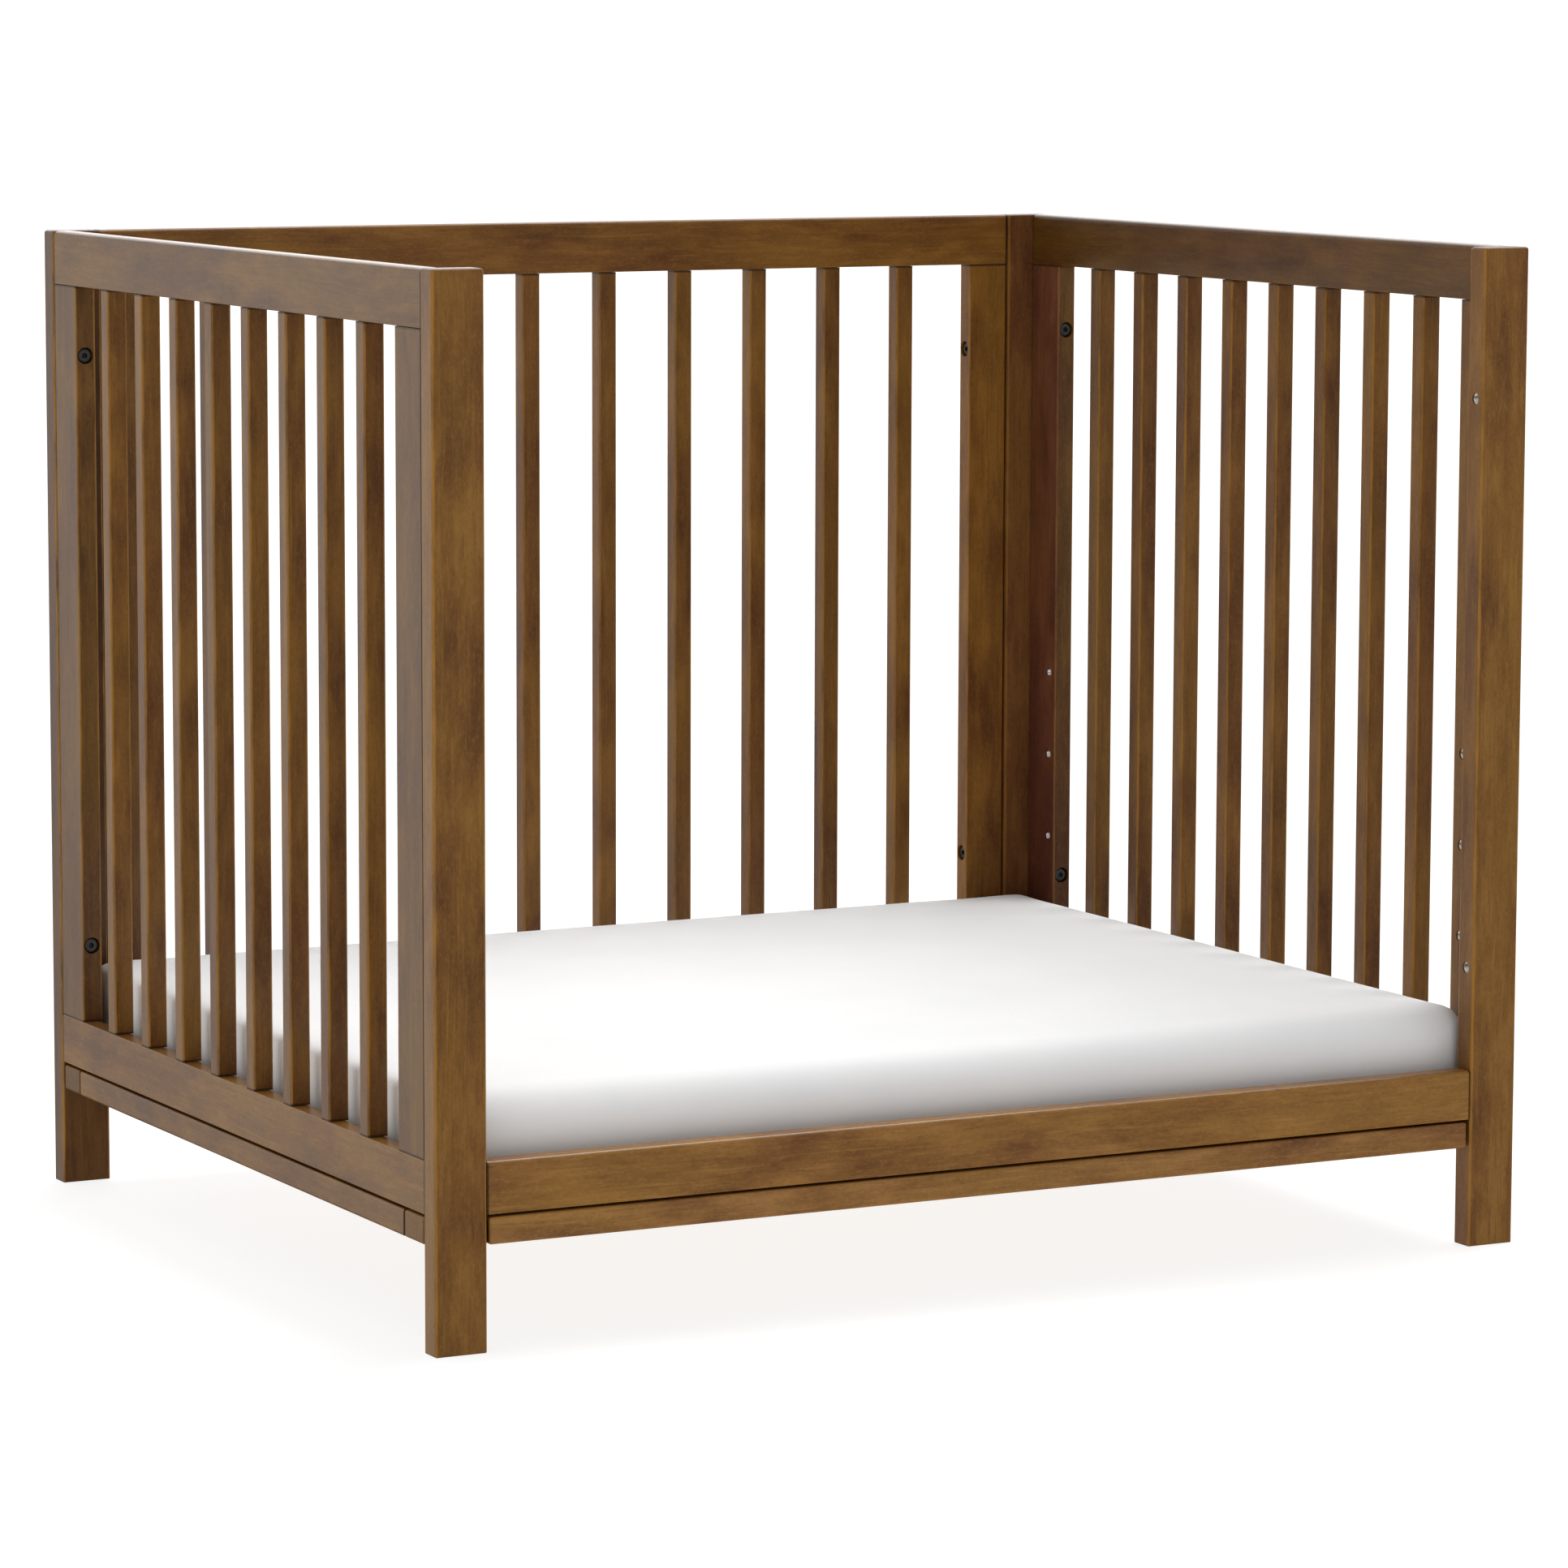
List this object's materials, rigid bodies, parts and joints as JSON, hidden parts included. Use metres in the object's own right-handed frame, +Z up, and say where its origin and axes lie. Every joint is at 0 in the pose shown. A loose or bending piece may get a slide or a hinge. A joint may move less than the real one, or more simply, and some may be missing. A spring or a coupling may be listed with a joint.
{
  "type": "playpen",
  "caption": "Open-front wooden playpen: flat posts, slatted ends and back, low front rail, ring of base boards, height-adjustable mattress board and lift-out white mattress.",
  "frame": {"origin": "centre of the footprint's bounding box, on the floor under the posts", "axes": "+X along the long side, to the right seen from the open front; +Y from the open front towards the slatted back panel; +Z up"},
  "size_m": [1.003, 0.8214, 0.844],
  "materials": {
    "wood": "satin walnut-brown stain with clear lacquer",
    "bolt_black": "black oxide, satin",
    "insert_nickel": "bright nickel plate",
    "angle_steel": "black powder coat",
    "board": "pale plywood, unfinished",
    "mattress_cover": "smooth matt white knit cover"
  },
  "bodies": {
    "frame": {"post_front_left": "wood", "post_front_right": "wood", "post_rear_left": "wood", "post_rear_right": "wood", "left_top_rail": "wood", "left_bottom_rail": "wood", "left_front_stile": "wood", "left_rear_stile": "wood", "left_slat_1": "wood", "left_slat_2": "wood", "left_slat_3": "wood", "left_slat_4": "wood", "left_slat_5": "wood", "left_slat_6": "wood", "left_slat_7": "wood", "left_slat_8": "wood", "right_top_rail": "wood", "right_bottom_rail": "wood", "right_front_stile": "wood", "right_rear_stile": "wood", "right_slat_1": "wood", "right_slat_2": "wood", "right_slat_3": "wood", "right_slat_4": "wood", "right_slat_5": "wood", "right_slat_6": "wood", "right_slat_7": "wood", "right_slat_8": "wood", "back_top_rail": "wood", "back_bottom_rail": "wood", "back_left_stile": "wood", "back_right_stile": "wood", "back_slat_1": "wood", "back_slat_2": "wood", "back_slat_3": "wood", "back_slat_4": "wood", "back_slat_5": "wood", "back_slat_6": "wood", "back_slat_7": "wood", "back_slat_8": "wood", "back_slat_9": "wood", "back_slat_10": "wood", "front_rail": "wood", "base_front_board": "wood", "base_rear_board": "wood", "base_left_board": "wood", "base_right_board": "wood", "bolt_left_rear_lower": "bolt_black", "bolt_left_rear_upper": "bolt_black", "bolt_right_rear_lower": "bolt_black", "bolt_right_rear_upper": "bolt_black", "bolt_back_left_lower": "bolt_black", "bolt_back_left_upper": "bolt_black", "bolt_back_right_lower": "bolt_black", "bolt_back_right_upper": "bolt_black"},
    "mattress_support": {"support_angle_left": "angle_steel", "support_angle_right": "angle_steel", "mattress_board": "board"},
    "mattress": {"mattress": "mattress_cover"}
  },
  "joints": [
    {"name": "mattress_height", "type": "slide", "parent": "frame", "child": "mattress_support", "axis": [0, 0, 1], "range_m": [0, 0.285]},
    {"name": "mattress_lift", "type": "slide", "parent": "mattress_support", "child": "mattress", "axis": [0, 0, 1], "range_m": [0, 0.76]}
  ]
}
